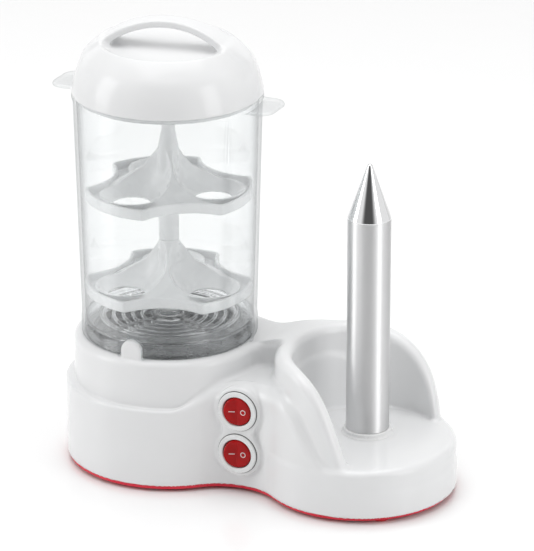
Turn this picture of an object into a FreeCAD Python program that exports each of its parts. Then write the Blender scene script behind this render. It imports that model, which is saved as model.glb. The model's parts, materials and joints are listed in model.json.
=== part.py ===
"""Egg cooker with a bun-warming spike: a steam tower for two racks of eggs beside a heated spike.

Millimetres, +Z up. The origin is on the table, under the middle of the object. +X runs from the
steam tower to the spike, and -Y is the front, where the switches are.
"""
import FreeCAD, Part
import math
import os
from FreeCAD import Vector

# ---- layout ----
OVERALL_X = 250.4            # ear tip of the container to the far end of the bun lobe
TOWER_R = 62.0               # big lobe, which carries the steam tower
EAR_REACH = 71.0             # ear tip from the tower's axis
TOWER_X = -OVERALL_X / 2 + EAR_REACH
BUN_R = 57.0                 # low lobe, which carries the spike
BUN_X = OVERALL_X / 2 - BUN_R
SPIKE_X = BUN_X + 5.5
SWITCH_X = TOWER_X + 63.2
WAIST_X = TOWER_X + 65.2       # narrowest place between the lobes

# ---- housing ----
WALL = 2.5
COVER_Z = 2.0                # underside of the bottom cover, on its feet
SHELL_Z = 3.8                # lower rim of the white shell
COVER_TOP_Z = 5.0            # inner face of the cover, inside the shell
LEDGE_Z = 51.5               # step between the two tiers of the tower lobe
TOWER_TOP_Z = 80.0
TIER_R = 57.0                # upper tier of the tower lobe
NECK_Z = 66.5                # top of the swelling above the switches
BUN_EDGE_Z = 31.0            # rounded edge of the bun lobe
BUN_CROWN_Z = 35.5           # its top beside the spike
SCREEN_Z = 86.0              # crest of the screen round the spike
SCREEN_IN_R = 44.0
SCREEN_OUT_R = 54.5
WAIST_ROUND = 38.0           # hollow curve between the lobes
FRONT_ROUND = 9.0            # the same between the upper tier and the screen, at the front
BACK_ROUND = 60.0            # and at the back

# ---- switches ----
PAD_Y = -42.0                # flat face of the figure-of-eight pad
PAD_R = 14.6
SWITCH_Z = {"upper": 53.0, "lower": 26.2}
BEZEL_R = 12.2
BEZEL_T = 1.3
SWITCH_BODY_R = 10.2
ROCKER_R = 8.75
ROCKER_BORE_R = 9.05
ROCKER_DIP = 2.2             # pivot axis to the flat half of the rocker's face
ROCKER_TILT = 20.0           # degrees between the two halves, and the rocker's travel
PIVOT_R = 1.0
PIVOT_PLAY = 0.05

# ---- heating ----
PLATE_RIM_R = 49.8
PLATE_DISH_R = 46.5
PLATE_FLOOR_Z = 71.0         # underside of the dish
ELEMENT_R = 30.0
ELEMENT_WIRE_R = 3.2
STRAP_Z = PLATE_FLOOR_Z - 2 * ELEMENT_WIRE_R - 1.6

# ---- spike ----
SPIKE_R = 12.68
SPIKE_SHANK_R = 12.3         # turned down where it stands in its collar
SPIKE_BORE_R = 11.0
SPIKE_FOOT_Z = 24.0
SPIKE_TOP_Z = 169.0
TIP_Z = 202.3
COLLAR_TOP_Z = 38.7
CARTRIDGE_R = 5.0

# ---- steam container ----
SKIRT_R = 52.4
CONTAINER_FOOT_R = 52.0
CONTAINER_RIM_R = 55.5
CONTAINER_RIM_Z = 228.0
CLEAR_WALL = 2.0
GRATE_Z = 90.0               # top of the slotted grate
SEAT_GAP = 0.1               # between pieces that only stand on each other
KEY_W = 13.0
KEY_TOP_Z = 91.0

# ---- egg racks ----
EGG_SEAT_R = 28.0            # seats from the axis
RACK_R = 49.6
SCALLOP_DEPTH_R = 36.0
SCALLOP_HALF = 27.0          # degrees from a scallop's middle to its corners
LOWER_RACK_Z = 106.0         # underside of the rim
UPPER_RACK_Z = 165.0
RACK_RIM_H = 6.5
RACK_T = 1.8
SEAT_HOLE_R = 11.0
STEM_R = 6.0
STEM_JOINT_Z = 137.0
SPIGOT_R = 3.9
HANDLE_STEM_R = 4.0
HANDLE_STEM_TOP_Z = 222.0
LOWER_RACK_TURN = -69.4      # degrees, middle of the front scallop
UPPER_RACK_TURN = -54.4

# ---- lid ----
LID_FOOT_Z = 228.8
LID_R = 57.5
LID_DOME_R = 63.9
LID_TOP_Z = 272.6            # top of the dome's sphere, over the recess
LID_WALL = 2.2
RECESS_R = 37.3
RECESS_FLOOR_Z = 256.0
ARCH_MID_W = 13.0            # handle across the recess, narrow in the middle
ARCH_END_R = 12.0            # its round ends on the dome
ARCH_END_X = 38.0
ARCH_T = 3.7
ARCH_TURN = 11.0             # degrees, from +X
ARCH_PROUD = 0.5

UP = Vector(0, 0, 1)


def save(name, shape):
    """Write one sub-part."""
    shape.exportStep(os.path.join("parts", name + ".step"))
    print(f"{name:20s} solids {len(shape.Solids)}  volume {shape.Volume:10.1f}  valid {shape.isValid()}")


def rod(radius, z0, z1, x=0.0, y=0.0):
    return Part.makeCylinder(radius, z1 - z0, Vector(x, y, z0))


def ring(outer, inner, z0, z1, x=0.0, y=0.0):
    return rod(outer, z0, z1, x, y).cut(rod(inner, z0 - 1, z1 + 1, x, y))


def box(x0, x1, y0, y1, z0, z1):
    return Part.makeBox(x1 - x0, y1 - y0, z1 - z0, Vector(x0, y0, z0))


def lathe(points, x=0.0, y=0.0):
    """Solid of revolution about the vertical through (x, y), from an outline of (radius, z)."""
    corners = [Vector(x + r, y, z) for r, z in points]
    face = Part.Face(Part.makePolygon(corners + corners[:1]))
    return face.revolve(Vector(x, y, 0), UP, 360)


def along_y(radius, y0, y1, z, x=SWITCH_X):
    return Part.makeCylinder(radius, y1 - y0, Vector(x, y0, z), Vector(0, 1, 0))


def polar(radius, degrees, x=0.0, y=0.0, z=0.0):
    a = math.radians(degrees)
    return Vector(x + radius * math.cos(a), y + radius * math.sin(a), z)


def fuse(shapes):
    whole = shapes[0]
    for shape in shapes[1:]:
        whole = whole.fuse(shape)
    return whole.removeSplitter()


def compound(shapes):
    return Part.makeCompound(shapes)


def round_edges(shape, radius, wanted):
    """Fillet the edges that wanted() picks."""
    edges = [e for e in shape.Edges if wanted(e)]
    return shape.makeFillet(radius, edges)


# ---------------------------------------------------------------- housing outline

def waisted_outline(left, left_r, right, right_r, front_round, back_round):
    """Closed wire round two circles on the X axis, with a hollow arc between them on each side."""
    def hollow(side, radius):
        span = right - left
        reach_l = left_r + radius
        reach_r = right_r + radius
        dx = (span ** 2 + reach_l ** 2 - reach_r ** 2) / (2 * span)
        centre = Vector(left + dx, side * math.sqrt(reach_l ** 2 - dx ** 2), 0)
        a, b = Vector(left, 0, 0), Vector(right, 0, 0)
        on_left = a + (centre - a) * (left_r / reach_l)
        on_right = b + (centre - b) * (right_r / reach_r)
        towards = (on_left + on_right) * 0.5 - centre
        middle = centre + towards * (radius / towards.Length)
        return on_left, middle, on_right

    fl, fm, fr = hollow(-1, front_round)
    bl, bm, br = hollow(1, back_round)
    arcs = [Part.Arc(fl, fm, fr), Part.Arc(fr, Vector(right + right_r, 0, 0), br),
            Part.Arc(br, bm, bl), Part.Arc(bl, Vector(left - left_r, 0, 0), fl)]
    return Part.Wire([a.toShape() for a in arcs])


def prism(wire, z0, z1):
    base = wire.copy()
    base.translate(Vector(0, 0, z0))
    return Part.Face(base).extrude(Vector(0, 0, z1 - z0))


def curve(points):
    """One Bezier edge in the XZ plane."""
    bezier = Part.BezierCurve()
    bezier.setPoles([Vector(x, 0, z) for x, z in points])
    return bezier.toShape()


def under_profile(pieces, y0, y1, floor_z=-20.0):
    """Everything under a top line in the XZ plane, for y0 < y < y1. Each piece is a line or Bezier."""
    edges = []
    for points in pieces:
        ends = [Vector(x, 0, z) for x, z in points]
        edges.append(Part.makeLine(ends[0], ends[1]) if len(points) == 2 else curve(points))
    start, end = pieces[0][0], pieces[-1][-1]
    corners = [Vector(end[0], 0, end[1]), Vector(end[0], 0, floor_z),
               Vector(start[0], 0, floor_z), Vector(start[0], 0, start[1])]
    edges += Part.makePolygon(corners).Edges
    face = Part.Face(Part.Wire(edges))
    solid = face.extrude(Vector(0, y1 - y0, 0))
    solid.translate(Vector(0, y0, 0))
    return solid


def lower_top_line(t):
    """The tower lobe's step, its rise over the switches and its fall to the bun lobe, t inside."""
    x = TOWER_X
    return [
        [(-200, LEDGE_Z - t), (x + 24 + t, LEDGE_Z - t)],
        [(x + 24 + t, LEDGE_Z - t), (x + 37 + t, LEDGE_Z - t),
         (x + 37 + t, NECK_Z - 2 - t), (x + 58, NECK_Z - t)],
        [(x + 58, NECK_Z - t), (x + 86 - t, NECK_Z + 2.5 - t)],
        [(x + 86 - t, NECK_Z + 2.5 - t), (x + 112 - t, NECK_Z + 4 - t),
         (x + 112 - t, BUN_EDGE_Z - t), (x + 128, BUN_EDGE_Z - t)],
        [(x + 128, BUN_EDGE_Z - t), (200, BUN_EDGE_Z - t)],
    ]


def upper_top_line(t, side):
    """The tower's top, its rise to the screen's crest and the screen's fall at one end, t inside."""
    x = TOWER_X
    if side < 0:
        fall = [(x + 86, SCREEN_Z - t), (x + 120 - t, SCREEN_Z + 1 - t),
                (x + 123 - t, 66 - t), (x + 137 - t, 28)]
    else:
        fall = [(x + 86, SCREEN_Z - t), (x + 132 - t, SCREEN_Z - t),
                (x + 155 - t, 68 - t), (x + 158.5 - t, 28)]
    return [
        [(-200, TOWER_TOP_Z - t), (x + 52, TOWER_TOP_Z - t)],
        [(x + 52, TOWER_TOP_Z - t), (x + 64, TOWER_TOP_Z - t), (x + 68, SCREEN_Z - t), (x + 86, SCREEN_Z - t)],
        fall,
    ]


def housing_form(t):
    """Outer form of the housing, or the space inside it when t is the wall's thickness."""
    bottom = SHELL_Z if t == 0 else SHELL_Z - 5
    foot = waisted_outline(TOWER_X, TOWER_R - t, BUN_X, BUN_R - t, WAIST_ROUND + t, WAIST_ROUND + t)
    lower = prism(foot, bottom, 80).common(under_profile(lower_top_line(t), -90, 90))
    crown = lathe([(0, bottom), (70, bottom), (70, BUN_EDGE_Z - t - 1), (62, BUN_EDGE_Z - t),
                   (18, BUN_CROWN_Z - t), (0, BUN_CROWN_Z - t)], SPIKE_X)
    bun = rod(BUN_R - t, bottom, 60, BUN_X).common(crown)
    tier = waisted_outline(TOWER_X, TIER_R - t, SPIKE_X, SCREEN_OUT_R - t, FRONT_ROUND + t, BACK_ROUND + t)
    ends = [under_profile(upper_top_line(t, side), min(0, side * 90), max(0, side * 90)) for side in (-1, 1)]
    upper = prism(tier, 25, 100).common(ends[0].fuse(ends[1]))
    upper = upper.common(fuse([lower, bun, prism(foot, 25, 100)]))
    around = lower.fuse(upper).cut(rod(SCREEN_IN_R + t, BUN_EDGE_Z - 12, 120, SPIKE_X))
    return around.fuse(bun).removeSplitter()


# ---------------------------------------------------------------- base shells

COVER_SCREWS = ([polar(TOWER_R - WALL - 3, a, TOWER_X) for a in (75, 180, 285)]
                + [polar(BUN_R - WALL - 3, a, BUN_X) for a in (-70, 0, 70)])
COVER_BOSS_R = 3.5
COVER_BOSS_TOP_Z = 24.0
PLATE_SCREWS = [Vector(TOWER_X, side * 51.3, 0) for side in (-1, 1)]
SPIKE_SCREWS = [Vector(SPIKE_X, side * 22.0, 0) for side in (-1, 1)]
PILOT_R = 1.5
SHANK_R = 1.45
FEET = ([polar(50.0, a, TOWER_X) for a in (120, 210, 262)]
        + [polar(49.5, a, BUN_X) for a in (-52, 52)])
FOOT_R = 5.5
GLAND_X = WAIST_X
GLAND_Z = 18.0
GLAND_Y = 37.8               # back of the waist
GLAND_BOOT_Y = 50.0          # end of its boot
GLAND_R = 6.0
CORD_R = 3.6


def switch_pads():
    """Raised figure of eight round the two switches."""
    discs = []
    for z in SWITCH_Z.values():
        disc = Part.makeCylinder(PAD_R, 9, Vector(SWITCH_X, PAD_Y, z), Vector(0, 1, 0))
        discs.append(round_edges(disc, 1.6, lambda e: abs(e.BoundBox.YMax - PAD_Y) < 0.01))
    waist_z = sum(SWITCH_Z.values()) / 2
    bridge = box(SWITCH_X - 9, SWITCH_X + 9, PAD_Y, PAD_Y + 9, waist_z - 8, waist_z + 8)
    for side in (-1, 1):
        bridge = bridge.cut(along_y(6, PAD_Y - 5, PAD_Y + 15, waist_z, SWITCH_X + side * 13.4))
    return fuse(discs + [bridge])


def locating_key():
    """Round-topped tab at the front of the tower's top, which the container's skirt straddles."""
    front = -SKIRT_R - 1.4
    tab = box(TOWER_X - KEY_W / 2, TOWER_X + KEY_W / 2, front, -SKIRT_R + 2.4,
              TOWER_TOP_Z - 3, KEY_TOP_Z - KEY_W / 2)
    head = Part.makeCylinder(KEY_W / 2, 3.8, Vector(TOWER_X, front, KEY_TOP_Z - KEY_W / 2), Vector(0, 1, 0))
    return tab.fuse(head)


def corner_ring(radius, z, rounding, x, from_deg, to_deg):
    """What a rounded top corner leaves away from a disc's square corner, over part of its rim."""
    a, b = Vector(x + radius - rounding, 0, z), Vector(x + radius, 0, z - rounding)
    centre = Vector(x + radius - rounding, 0, z - rounding)
    bulge = centre + Vector(1, 0, 1) * (rounding / math.sqrt(2))
    out = [b, b + Vector(2, 0, 0), Vector(x + radius + 2, 0, z + 2), a + Vector(0, 0, 2), a]
    wire = Part.Wire([Part.Arc(a, bulge, b).toShape()] + Part.makePolygon(out).Edges)
    cutter = Part.Face(wire).revolve(Vector(x, 0, 0), UP, to_deg - from_deg)
    cutter.rotate(Vector(x, 0, 0), UP, from_deg)
    return cutter


def housing_shell():
    """White upper shell: both lobes, the neck with its switch panel and the screen, open below."""
    outer = housing_form(0)
    outer = outer.cut(corner_ring(TIER_R, TOWER_TOP_Z, 4.5, TOWER_X, 56.5, 351))
    outer = outer.cut(corner_ring(TOWER_R, LEDGE_Z, 1.4, TOWER_X, 67, 293))
    outer = outer.cut(corner_ring(BUN_R, BUN_EDGE_Z + 0.5, 3.5, BUN_X, -70, 40))
    outer = outer.fuse(switch_pads())
    shell = outer.cut(housing_form(WALL)).fuse(locating_key())
    bosses = [rod(COVER_BOSS_R, COVER_TOP_Z, COVER_BOSS_TOP_Z, p.x, p.y) for p in COVER_SCREWS]
    bosses += [rod(COVER_BOSS_R, STRAP_Z + 1.6, TOWER_TOP_Z - 1, p.x, p.y) for p in PLATE_SCREWS]
    bosses += [rod(COVER_BOSS_R, SPIKE_FOOT_Z, BUN_CROWN_Z - 1.5, p.x, p.y) for p in SPIKE_SCREWS]
    shell = shell.fuse(bosses)
    holes = [rod(PILOT_R, COVER_TOP_Z - 1, COVER_BOSS_TOP_Z - 4, p.x, p.y) for p in COVER_SCREWS]
    holes += [rod(PILOT_R, STRAP_Z, TOWER_TOP_Z - 5, p.x, p.y) for p in PLATE_SCREWS]
    holes += [rod(PILOT_R, SPIKE_FOOT_Z - 1, BUN_EDGE_Z, p.x, p.y) for p in SPIKE_SCREWS]
    holes.append(rod(PLATE_DISH_R + 0.6, TOWER_TOP_Z - 10, TOWER_TOP_Z + 1, TOWER_X))
    holes.append(rod(PLATE_RIM_R + 0.3, TOWER_TOP_Z - 1.6, TOWER_TOP_Z + 1, TOWER_X))
    holes.append(rod(SPIKE_SHANK_R + 0.1, SPIKE_FOOT_Z, BUN_CROWN_Z + 5, SPIKE_X))
    for z in SWITCH_Z.values():
        holes.append(along_y(SWITCH_BODY_R + 0.1, PAD_Y - 1, PAD_Y + 13, z))
    holes.append(Part.makeCylinder(GLAND_R, 12, Vector(GLAND_X, GLAND_Y - 5, GLAND_Z), Vector(0, 1, 0)))
    return shell.cut(compound(holes))


def bottom_cover():
    """Red plate that closes the base, with screw recesses, vents and stiffening ribs."""
    plate = prism(waisted_outline(TOWER_X, TOWER_R - 1, BUN_X, BUN_R - 1, WAIST_ROUND + 1, WAIST_ROUND + 1),
                  COVER_Z, SHELL_Z)
    t = WALL + 0.3
    plug = prism(waisted_outline(TOWER_X, TOWER_R - t, BUN_X, BUN_R - t, WAIST_ROUND + t, WAIST_ROUND + t),
                 SHELL_Z, COVER_TOP_Z)
    rib_z = COVER_TOP_Z + 3
    ribs = [ring(30, 28.5, COVER_TOP_Z, rib_z, TOWER_X), ring(28, 26.5, COVER_TOP_Z, rib_z, BUN_X)]
    holes = [rod(3.2, COVER_Z - 1, COVER_Z + 1.7, p.x, p.y) for p in COVER_SCREWS]
    holes += [rod(1.7, COVER_Z - 1, COVER_TOP_Z + 1, p.x, p.y) for p in COVER_SCREWS]
    for i in range(5):
        x = WAIST_X - 12 + 6 * i
        holes.append(box(x - 1, x + 1, -12, 12, COVER_Z - 1, COVER_TOP_Z + 1))
    return fuse([plate, plug] + ribs).cut(compound(holes))


def feet():
    """Five red pads under the cover."""
    return compound([lathe([(0, 0), (FOOT_R - 1, 0), (FOOT_R, 0.8), (FOOT_R, COVER_Z), (0, COVER_Z)], p.x, p.y)
                     for p in FEET])


def screw_up(p, head_z, top_z, head_r=2.9):
    """Pan-head screw driven upwards, with a cross recess in its head."""
    screw = rod(head_r, head_z, head_z + 1.6, p.x, p.y).fuse(rod(SHANK_R, head_z + 1.6, top_z, p.x, p.y))
    slots = box(p.x - 1.6, p.x + 1.6, p.y - 0.35, p.y + 0.35, head_z - 1, head_z + 0.9)
    slots = slots.fuse(box(p.x - 0.35, p.x + 0.35, p.y - 1.6, p.y + 1.6, head_z - 1, head_z + 0.9))
    return screw.cut(slots)


# ---------------------------------------------------------------- heating plate and what is under it

THERMOSTAT_X = TOWER_X + 16.5
FUSE_X = TOWER_X - 16.5


def heating_plate():
    """Stainless dish that holds the water: flange, sloping side and flat floor."""
    rim_z = TOWER_TOP_Z + 0.1
    return lathe([(0, PLATE_FLOOR_Z), (PLATE_DISH_R - 2.5, PLATE_FLOOR_Z), (PLATE_DISH_R, PLATE_FLOOR_Z + 2.5),
                  (PLATE_DISH_R, rim_z - 1), (PLATE_RIM_R, rim_z - 1), (PLATE_RIM_R, rim_z),
                  (PLATE_DISH_R - 1, rim_z), (PLATE_DISH_R - 1, PLATE_FLOOR_Z + 3),
                  (PLATE_DISH_R - 3, PLATE_FLOOR_Z + 1), (0, PLATE_FLOOR_Z + 1)], TOWER_X)


def plate_gasket():
    """Silicone ring under the dish's flange."""
    return ring(PLATE_RIM_R, PLATE_DISH_R + 0.7, TOWER_TOP_Z - 1.6, TOWER_TOP_Z - 0.9, TOWER_X)


def heating_element():
    """Sheathed element: most of a turn under the dish, with its two ends turned down."""
    z = PLATE_FLOOR_Z - ELEMENT_WIRE_R
    gap = 16
    loop = Part.makeTorus(ELEMENT_R, ELEMENT_WIRE_R, Vector(0, 0, 0), UP, -180, 180, 360 - 2 * gap)
    loop.rotate(Vector(0, 0, 0), UP, gap)
    loop.translate(Vector(TOWER_X, 0, z))
    ends = []
    for side in (-1, 1):
        p = polar(ELEMENT_R, side * gap, TOWER_X)
        ends.append(rod(ELEMENT_WIRE_R, z - 14, z, p.x, p.y))
        ends.append(Part.makeSphere(ELEMENT_WIRE_R, Vector(p.x, p.y, z)))
        ends.append(rod(1.2, z - 21, z - 14, p.x, p.y))
    return fuse([loop] + ends)


def plate_strap():
    """Steel strap across the underside that pulls the dish and its element up against the shell."""
    strap = box(TOWER_X - 5, TOWER_X + 5, -53.4, 53.4, STRAP_Z, STRAP_Z + 1.6)
    holes = [rod(1.7, STRAP_Z - 1, STRAP_Z + 3, p.x, p.y) for p in PLATE_SCREWS]
    return strap.cut(compound(holes))


def thermostat():
    """Disc thermostat against the dish, with two terminal blades."""
    disc = lathe([(0, PLATE_FLOOR_Z - 7), (6.5, PLATE_FLOOR_Z - 7), (8, PLATE_FLOOR_Z - 4), (8, PLATE_FLOOR_Z),
                  (0, PLATE_FLOOR_Z)], THERMOSTAT_X)
    blades = [box(THERMOSTAT_X - 2, THERMOSTAT_X + 2, s * 4 - 0.4, s * 4 + 0.4,
                  PLATE_FLOOR_Z - 14, PLATE_FLOOR_Z - 6.9)
              for s in (-1, 1)]
    return fuse([disc] + blades)


def thermal_fuse():
    """Small sealed fuse in a clip against the dish."""
    z = PLATE_FLOOR_Z - 3.4
    body = Part.makeCylinder(2.4, 14, Vector(FUSE_X, -7, z), Vector(0, 1, 0))
    clip = box(FUSE_X - 3.4, FUSE_X + 3.4, -3, 3, z - 3.4, PLATE_FLOOR_Z)
    leads = Part.makeCylinder(0.6, 30, Vector(FUSE_X, -15, z), Vector(0, 1, 0))
    return fuse([clip, body, leads])


# ---------------------------------------------------------------- spike

def spike_tube():
    """Satin aluminium tube, open at both ends, turned down to a shank below the collar's top."""
    shoulder_z = COLLAR_TOP_Z + 0.1
    return lathe([(SPIKE_BORE_R, SPIKE_FOOT_Z), (SPIKE_SHANK_R, SPIKE_FOOT_Z), (SPIKE_SHANK_R, shoulder_z),
                  (SPIKE_R, shoulder_z), (SPIKE_R, SPIKE_TOP_Z), (SPIKE_BORE_R, SPIKE_TOP_Z)], SPIKE_X)


def spike_tip():
    """Chromed cone with a blunt point and a spigot down into the tube."""
    blunt = 1.5
    cone = lathe([(0, SPIKE_TOP_Z), (SPIKE_R, SPIKE_TOP_Z), (SPIKE_R, SPIKE_TOP_Z + 0.6), (blunt, TIP_Z - 1.2),
                  (blunt * 0.6, TIP_Z - 0.3), (0, TIP_Z)], SPIKE_X)
    return cone.fuse(rod(SPIKE_BORE_R - 0.05, SPIKE_TOP_Z - 8, SPIKE_TOP_Z, SPIKE_X))


def spike_collar():
    """White insulating collar with a flared foot, standing on the bun lobe round the tube."""
    foot_z = BUN_CROWN_Z
    inner = SPIKE_SHANK_R + 0.1
    return lathe([(inner, foot_z), (15.6, foot_z), (15.3, foot_z + 0.8), (14.4, foot_z + 1.3),
                  (14.2, COLLAR_TOP_Z - 0.5), (13.8, COLLAR_TOP_Z), (inner, COLLAR_TOP_Z)], SPIKE_X)


def spike_cartridge():
    """Cartridge heater standing in the tube, with two contact pins below."""
    heater = rod(CARTRIDGE_R, SPIKE_FOOT_Z - 8, 156, SPIKE_X)
    pins = [rod(0.9, SPIKE_FOOT_Z - 14, SPIKE_FOOT_Z - 8, SPIKE_X, s * 2.4) for s in (-1, 1)]
    return fuse([heater] + pins)


def spike_bushings():
    """Ceramic rings that hold the cartridge on the tube's axis."""
    return compound([ring(SPIKE_BORE_R - 0.05, CARTRIDGE_R + 0.05, z, z + 4, SPIKE_X) for z in (40, 92, 144)])


def spike_bracket():
    """Steel plate under the tube, screwed up into the bun lobe."""
    plate = box(SPIKE_X - 12, SPIKE_X + 12, -27, 27, SPIKE_FOOT_Z - 2, SPIKE_FOOT_Z)
    plate = round_edges(plate, 5, lambda e: e.BoundBox.ZLength > 1.5)
    holes = [rod(CARTRIDGE_R + 0.1, SPIKE_FOOT_Z - 3, SPIKE_FOOT_Z + 1, SPIKE_X)]
    holes += [rod(1.7, SPIKE_FOOT_Z - 3, SPIKE_FOOT_Z + 1, p.x, p.y) for p in SPIKE_SCREWS]
    return plate.cut(compound(holes))


# ---------------------------------------------------------------- switches

PIVOT_Y = PAD_Y - BEZEL_T + 0.3 + ROCKER_DIP
SWITCH_BACK_Y = PAD_Y + 17.0


def switch_body(z):
    """Round snap-in body with its bezel, bored for the rocker and its pivot pins."""
    bezel = along_y(BEZEL_R, PAD_Y - BEZEL_T, PAD_Y, z)
    bezel = round_edges(bezel, 0.8, lambda e: abs(e.BoundBox.YMax - (PAD_Y - BEZEL_T)) < 0.01)
    body = bezel.fuse(along_y(SWITCH_BODY_R, PAD_Y, SWITCH_BACK_Y, z))
    well_y = PIVOT_Y + ROCKER_R + 0.6
    body = body.cut(along_y(ROCKER_BORE_R, PAD_Y - 5, well_y, z))
    body = body.cut(Part.makeCylinder(PIVOT_R + PIVOT_PLAY, 20, Vector(SWITCH_X, PIVOT_Y, z - 10), UP)
                    .common(along_y(ROCKER_BORE_R + 0.9, PAD_Y - 5, well_y, z)))
    return body.cut(along_y(3.0, well_y - 1, well_y + 3.0, z))


def rocker(z):
    """Red ball-sided rocker, its face a shallow valley, with the right half pressed in, off."""
    ball = Part.makeSphere(ROCKER_R, Vector(SWITCH_X, PIVOT_Y, z))
    flat = box(SWITCH_X, SWITCH_X + 20, PIVOT_Y - 20, PIVOT_Y - ROCKER_DIP, z - 20, z + 20)
    rise = box(SWITCH_X - 20, SWITCH_X, PIVOT_Y - 20, PIVOT_Y - ROCKER_DIP, z - 20, z + 20)
    rise.rotate(Vector(SWITCH_X, PIVOT_Y - ROCKER_DIP, z), UP, ROCKER_TILT)
    gap = box(SWITCH_X - 9, SWITCH_X, PIVOT_Y - 30, PIVOT_Y - 8.2, z - 20, z + 20)
    back = box(SWITCH_X - 20, SWITCH_X + 20, PIVOT_Y + 4.5, PIVOT_Y + 20, z - 20, z + 20)
    button = ball.cut(fuse([flat, rise, gap])).cut(back)
    reach = ROCKER_BORE_R + 0.75
    pins = rod(PIVOT_R, z - reach, z + reach, SWITCH_X, PIVOT_Y)
    return button.fuse(pins)


def switch_lamps():
    """Neon lamp behind each rocker."""
    y0 = PIVOT_Y + ROCKER_R - 1.4
    lamps = []
    for z in SWITCH_Z.values():
        lamp = along_y(1.9, y0, PIVOT_Y + ROCKER_R + 3.5, z)
        lamps.append(lamp.fuse(Part.makeSphere(1.9, Vector(SWITCH_X, y0, z))))
    return compound(lamps)


def switch_terminals():
    """Three blades behind each switch."""
    return compound([box(SWITCH_X + dx - 0.4, SWITCH_X + dx + 0.4,
                         SWITCH_BACK_Y, SWITCH_BACK_Y + 8, z - 2.4, z + 2.4)
                     for z in SWITCH_Z.values() for dx in (-5, 0, 5)])


# ---------------------------------------------------------------- mains entry and wiring

BLOCK_X = WAIST_X
BLOCK_Y = 8.0


def cord_gland():
    """Flanged bush through the back wall with a boot behind it, which guides the mains cord."""
    flange_y = GLAND_Y + 1.2
    bush = fuse([along_y(GLAND_R - 0.1, GLAND_Y - 6, flange_y + 2, GLAND_Z, GLAND_X),
                 along_y(GLAND_R + 2, flange_y, flange_y + 2.2, GLAND_Z, GLAND_X),
                 along_y(CORD_R + 1.6, flange_y, GLAND_BOOT_Y, GLAND_Z, GLAND_X)])
    bush = bush.cut(along_y(CORD_R, GLAND_Y - 10, GLAND_BOOT_Y + 1, GLAND_Z, GLAND_X))
    return bush.cut(along_y(CORD_R + 0.8, GLAND_Y - 10, flange_y + 1, GLAND_Z, GLAND_X))


def terminal_block():
    """Ceramic block on the cover, with two rows of wire sockets and clamping screws' holes."""
    block = box(BLOCK_X - 14, BLOCK_X + 14, BLOCK_Y - 7, BLOCK_Y + 7, COVER_TOP_Z, COVER_TOP_Z + 12)
    holes = []
    for dx in (-9, 0, 9):
        holes.append(along_y(1.7, BLOCK_Y - 8, BLOCK_Y - 3, COVER_TOP_Z + 5, BLOCK_X + dx))
        holes.append(rod(1.5, COVER_TOP_Z + 9, COVER_TOP_Z + 13, BLOCK_X + dx, BLOCK_Y))
    return block.cut(compound(holes))


def wire(points, radius=1.1):
    """Insulated wire: straight runs joined by tangent arcs."""
    p = [Vector(*q) for q in points]
    edges = []
    last = p[0]
    for a, b, c in zip(p, p[1:], p[2:]):
        into, out = (a - b), (c - b)
        into.normalize()
        out.normalize()
        half_turn = (math.pi - into.getAngle(out)) / 2
        trim = 0.45 * min((a - b).Length, (c - b).Length)
        bend = trim / math.tan(half_turn)
        start, end = b + into * trim, b + out * trim
        inward = (into + out)
        inward.normalize()
        middle = b + inward * (bend / math.cos(half_turn) - bend)
        edges.append(Part.makeLine(last, start))
        edges.append(Part.Arc(start, middle, end).toShape())
        last = end
    edges.append(Part.makeLine(last, p[-1]))
    path = Part.Wire(edges)
    first = p[1] - p[0]
    section = Part.Wire(Part.makeCircle(radius, p[0], first))
    tube = path.makePipeShell([section], True, False)
    tube = tube if tube.Solids else Part.Solid(tube)
    print(f"  wire length {path.Length:.1f}, volume / (section x length) "
          f"{abs(tube.Volume) / (math.pi * radius ** 2 * path.Length):.3f}")
    return tube


def internal_wires():
    """Supply, switched and return wires between the block, the switches, the dish and the spike."""
    back = SWITCH_BACK_Y + 8
    block_z = COVER_TOP_Z + 5
    element_z = PLATE_FLOOR_Z - ELEMENT_WIRE_R - 21
    end = polar(ELEMENT_R, 16, TOWER_X)
    low, high = SWITCH_Z["lower"], SWITCH_Z["upper"]
    routes = [
        [(BLOCK_X, BLOCK_Y - 3, block_z), (BLOCK_X, -6, block_z), (SWITCH_X, -7, 19),
         (SWITCH_X, -11, low), (SWITCH_X, back, low)],
        [(SWITCH_X - 5, back, high), (SWITCH_X - 5, -8, high), (SWITCH_X - 14, -7, 45),
         (end.x, -end.y, 38), (end.x, -end.y, element_z)],
        [(SWITCH_X + 5, back, low), (SWITCH_X + 5, -11, low), (SPIKE_X - 24, -7, 20), (SPIKE_X - 8, -2.4, 12),
         (SPIKE_X - 1, -2.4, 7.5)],
    ]
    return compound([wire(r) for r in routes])


# ---------------------------------------------------------------- steam container

def ear():
    """Rounded grip tab level with the rim."""
    tab = box(TOWER_X + 50, TOWER_X + EAR_REACH, -15, 15, CONTAINER_RIM_Z - 2, CONTAINER_RIM_Z)
    return round_edges(tab, 9, lambda e: e.BoundBox.ZLength > 1.5 and e.BoundBox.XMin > TOWER_X + 60)


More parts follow.
